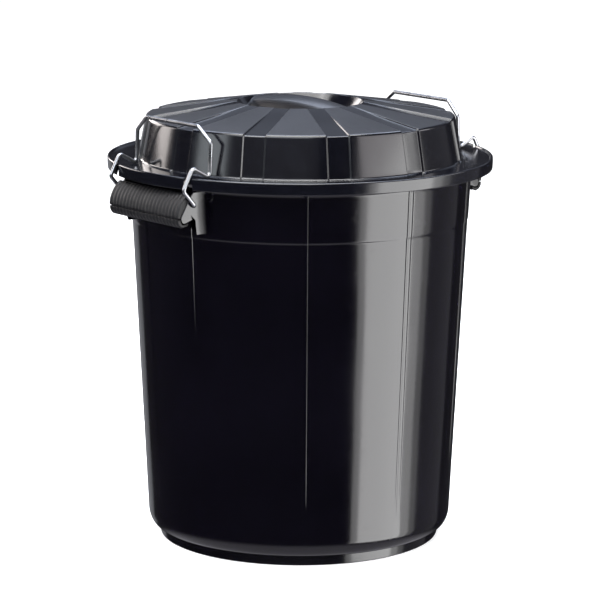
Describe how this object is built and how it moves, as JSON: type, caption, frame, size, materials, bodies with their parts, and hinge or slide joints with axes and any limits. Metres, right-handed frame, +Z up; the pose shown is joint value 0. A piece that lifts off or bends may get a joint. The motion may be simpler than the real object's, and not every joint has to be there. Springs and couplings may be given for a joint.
{
  "type": "clamp-lid bin",
  "caption": "Round tapered plastic storage bin with a domed lid that lifts off, wire clasps that clamp it down, and padded side grips.",
  "frame": {"origin": "centre of the foot ring at the plane the bin stands on", "axes": "+Z up along the bin's axis; the clasps and grips are on +X and -X"},
  "size_m": [0.4596, 0.453, 0.5235],
  "materials": {
    "tub_plastic": "moulded, glossy black",
    "lid_plastic": "moulded, satin to glossy black",
    "grip_plastic": "matt charcoal, ribbed",
    "clasp_wire": "bright zinc-plated spring wire"
  },
  "bodies": {
    "tub": {"tub": "tub_plastic", "grip_upper_right": "grip_plastic", "grip_upper_left": "grip_plastic", "grip_lower_right": "grip_plastic", "grip_lower_left": "grip_plastic"},
    "lid": {"lid": "lid_plastic"},
    "clasp_right": {"clasp_right": "clasp_wire"},
    "clasp_left": {"clasp_left": "clasp_wire"}
  },
  "joints": [
    {"name": "lid_lift", "type": "slide", "parent": "tub", "child": "lid", "axis": [0, 0, 1], "range_m": [0, 0.48]},
    {"name": "clasp_right_hinge", "type": "hinge", "parent": "tub", "child": "clasp_right", "pos_m": [0.207, 0, 0.4217], "axis": [0, 1, 0], "range_deg": [0, 180]},
    {"name": "clasp_left_hinge", "type": "hinge", "parent": "tub", "child": "clasp_left", "pos_m": [-0.207, 0, 0.4217], "axis": [0, -1, 0], "range_deg": [0, 180]}
  ]
}
